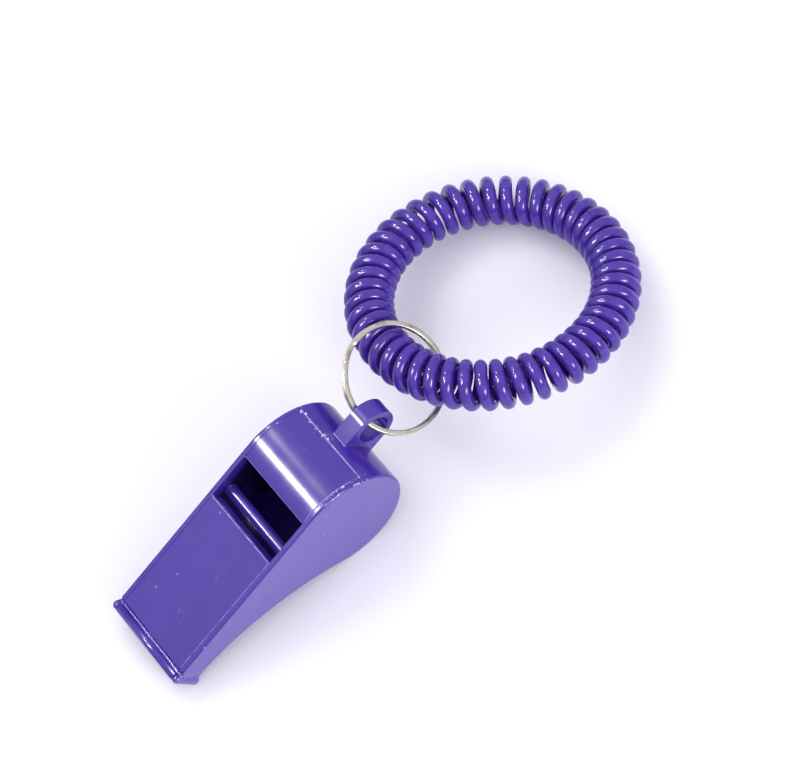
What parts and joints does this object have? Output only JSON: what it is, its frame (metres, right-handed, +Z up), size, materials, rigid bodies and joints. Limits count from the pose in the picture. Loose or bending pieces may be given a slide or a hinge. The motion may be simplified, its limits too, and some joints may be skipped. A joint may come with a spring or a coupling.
{
  "type": "pea whistle with wrist coil",
  "caption": "Plastic pea whistle with a rear lug, a split ring through the lug and a spiral wrist coil on the ring.",
  "frame": {"origin": "On the table plane, under the middle of the box round the whistle and the split ring.", "axes": "+X runs along the whistle from its mouth toward the coil, +Z is up from the table, +Y is across the whistle."},
  "size_m": [0.1234, 0.0574, 0.0269],
  "materials": {
    "whistle_plastic": "glossy moulded violet",
    "pea_cork": "matte cork",
    "ring_metal": "nickel plated, slightly worn",
    "coil_plastic": "glossy flexible violet"
  },
  "bodies": {
    "whistle": {"whistle_body": "whistle_plastic", "mouthpiece_lid": "whistle_plastic", "barrel_lid": "whistle_plastic"},
    "pea": {"pea": "pea_cork"},
    "ring": {"split_ring": "ring_metal"},
    "coil": {"wrist_coil": "coil_plastic", "coil_joiner": "coil_plastic"}
  },
  "joints": [
    {"name": "pea_roll", "type": "hinge", "parent": "whistle", "child": "pea", "pos_m": [0.00472, -0.0013, 0.0125], "axis": [0, 1, 0], "continuous": true},
    {"name": "ring_swing", "type": "hinge", "parent": "whistle", "child": "ring", "pos_m": [0.01944, -0.0013, 0.01974], "axis": [0, 1, 0], "range_deg": [-75, 30]},
    {"name": "coil_turn", "type": "hinge", "parent": "ring", "child": "coil", "pos_m": [0.05531, 0.0081, 0.01188], "axis": [0.2192, 0.1807, 0.9588], "continuous": true}
  ]
}
